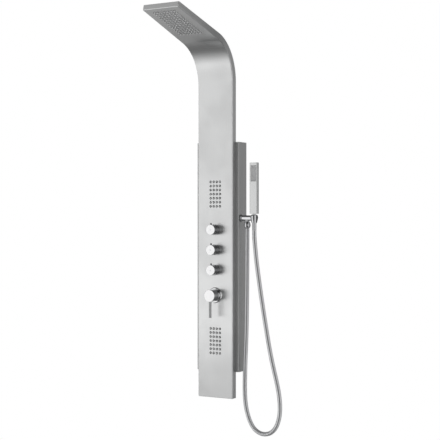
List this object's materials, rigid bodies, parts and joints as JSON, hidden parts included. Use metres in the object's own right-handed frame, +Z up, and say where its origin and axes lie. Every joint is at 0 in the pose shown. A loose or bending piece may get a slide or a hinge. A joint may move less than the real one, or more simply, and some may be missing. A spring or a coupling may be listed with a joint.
{
  "type": "shower column",
  "caption": "Wall-hung shower column with an arched rain head, body jets, diverter knobs, a lever mixer and a hand shower on a hanging hose.",
  "frame": {"origin": "middle of the upper wall bracket's back face, on the wall plane", "axes": "+Z up along the panel, -Y out of the wall towards the user, +X to the side the hand shower hangs on"},
  "size_m": [0.3611, 0.473, 1.6051],
  "materials": {
    "brushed_steel": "satin, grain along the panel",
    "plain_steel": "mill finish",
    "chrome": "polished",
    "satin_chrome": "satin face, polished side",
    "brass": "cast and machined",
    "silicone": "matt",
    "white_plastic": "matt",
    "black_plastic": "matt",
    "hose_skin": "steel wound over rubber"
  },
  "bodies": {
    "column": {"column_shell": "brushed_steel", "upper_back_cover": "plain_steel", "lower_back_cover": "plain_steel", "casing_channel": "brushed_steel", "casing_top_cap": "brushed_steel", "casing_bottom_cap": "brushed_steel", "upper_wall_bracket": "plain_steel", "lower_wall_bracket": "plain_steel", "upper_hanger_strip": "plain_steel", "lower_hanger_strip": "plain_steel", "diverter_manifold": "brass", "mixer_body": "brass", "hot_inlet_nipple": "brass", "cold_inlet_nipple": "brass", "rain_feed_pipe": "white_plastic", "upper_jet_pipe": "white_plastic", "lower_jet_pipe": "white_plastic", "hand_shower_pipe": "white_plastic", "rain_chamber": "black_plastic", "rain_nozzle_mat": "silicone", "upper_jet_chamber": "black_plastic", "upper_jet_mat": "silicone", "lower_jet_chamber": "black_plastic", "lower_jet_mat": "silicone", "diverter_cartridge_1": "brass", "diverter_nut_1": "brass", "diverter_sleeve_1": "chrome", "diverter_cartridge_2": "brass", "diverter_nut_2": "brass", "diverter_sleeve_2": "chrome", "diverter_cartridge_3": "brass", "diverter_nut_3": "brass", "diverter_sleeve_3": "chrome", "mixer_cartridge": "white_plastic", "mixer_bonnet": "chrome", "mixer_escutcheon": "chrome", "outlet_flange": "chrome", "outlet_arm": "chrome", "outlet_locknut": "brass", "hose_outlet_nut": "chrome", "hose": "hose_skin"},
    "knob_1": {"diverter_knob_1": "satin_chrome", "diverter_spindle_1": "brass", "knob_pin_1": "chrome"},
    "knob_2": {"diverter_knob_2": "satin_chrome", "diverter_spindle_2": "brass", "knob_pin_2": "chrome"},
    "knob_3": {"diverter_knob_3": "satin_chrome", "diverter_spindle_3": "brass", "knob_pin_3": "chrome"},
    "mixer_swivel": {"mixer_carrier": "white_plastic"},
    "mixer_handle": {"mixer_stub": "brass", "mixer_handle": "satin_chrome", "mixer_lever": "chrome"},
    "hand_shower": {"hose_handset_nut": "chrome", "handset_neck": "chrome", "handset_body": "brushed_steel", "handset_spray_plate": "silicone"}
  },
  "joints": [
    {"name": "knob_1_turn", "type": "hinge", "parent": "column", "child": "knob_1", "pos_m": [0, -0.11, -0.249], "axis": [0, 1, 0], "range_deg": [0, 90]},
    {"name": "knob_2_turn", "type": "hinge", "parent": "column", "child": "knob_2", "pos_m": [0, -0.11, -0.327], "axis": [0, 1, 0], "range_deg": [0, 90]},
    {"name": "knob_3_turn", "type": "hinge", "parent": "column", "child": "knob_3", "pos_m": [0, -0.11, -0.405], "axis": [0, 1, 0], "range_deg": [0, 90]},
    {"name": "mixer_swivel", "type": "hinge", "parent": "column", "child": "mixer_swivel", "pos_m": [0, -0.098, -0.503], "axis": [0, 1, 0], "range_deg": [-50, 50]},
    {"name": "mixer_lift", "type": "hinge", "parent": "mixer_swivel", "child": "mixer_handle", "pos_m": [0, -0.098, -0.503], "axis": [-1, 0, 0], "range_deg": [0, 20]},
    {"name": "hand_shower_lift", "type": "slide", "parent": "column", "child": "hand_shower", "axis": [0, 0, 1], "range_m": [0, 0.045]}
  ]
}
